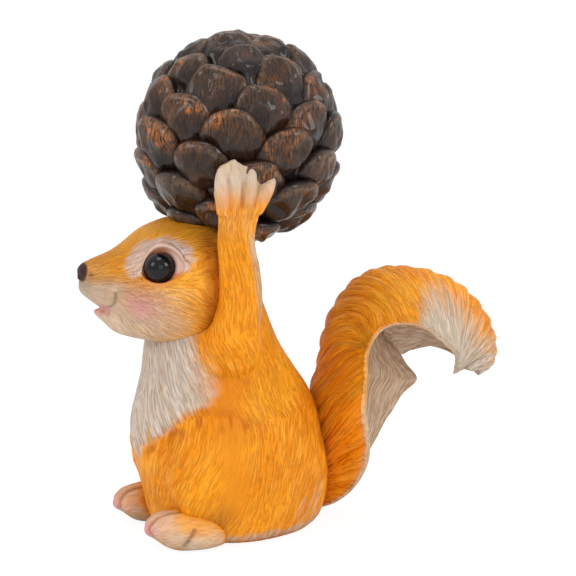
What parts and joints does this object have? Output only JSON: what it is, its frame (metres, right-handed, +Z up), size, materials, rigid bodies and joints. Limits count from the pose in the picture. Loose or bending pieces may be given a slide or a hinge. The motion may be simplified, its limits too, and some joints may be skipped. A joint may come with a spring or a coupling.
{
  "type": "squirrel figurine",
  "caption": "Painted resin ornament of a sitting squirrel that holds a big pine cone on its head with both paws, its bushy tail curled over behind.",
  "frame": {"origin": "on the flat resting face, under the middle of the body, in the squirrel's mid-plane", "axes": "+Z up; the squirrel faces -Y and its tail is behind it at +Y; its left side is +X"},
  "size_m": [0.0656, 0.1464, 0.1569],
  "materials": {
    "body_resin": "satin paint, bright yellow-orange over carved fur, off-white chest",
    "head_resin": "satin paint, orange crown, pale muzzle, pink cheeks, dark nose",
    "arm_resin": "satin paint, yellow-orange, off-white fingers",
    "foot_resin": "satin paint, beige orange, pink toes",
    "tail_resin": "satin paint, orange fur outside, off-white hollow side",
    "base_resin": "bare cream resin",
    "pinecone_resin": "gloss, dark brown with orange dry-brushed ridges",
    "eye_bead": "high gloss, near black with a brown rim",
    "steel_pins": "plain drawn steel"
  },
  "bodies": {
    "root": {"body": "body_resin", "base_plate": "base_resin", "head": "head_resin", "left_arm": "arm_resin", "right_arm": "arm_resin", "left_foot": "foot_resin", "right_foot": "foot_resin", "left_eye": "eye_bead", "right_eye": "eye_bead", "tail": "tail_resin", "pinecone": "pinecone_resin", "spine_rod": "steel_pins", "left_arm_dowel": "steel_pins", "right_arm_dowel": "steel_pins", "left_foot_dowel": "steel_pins", "right_foot_dowel": "steel_pins", "tail_dowels": "steel_pins"}
  },
  "joints": []
}
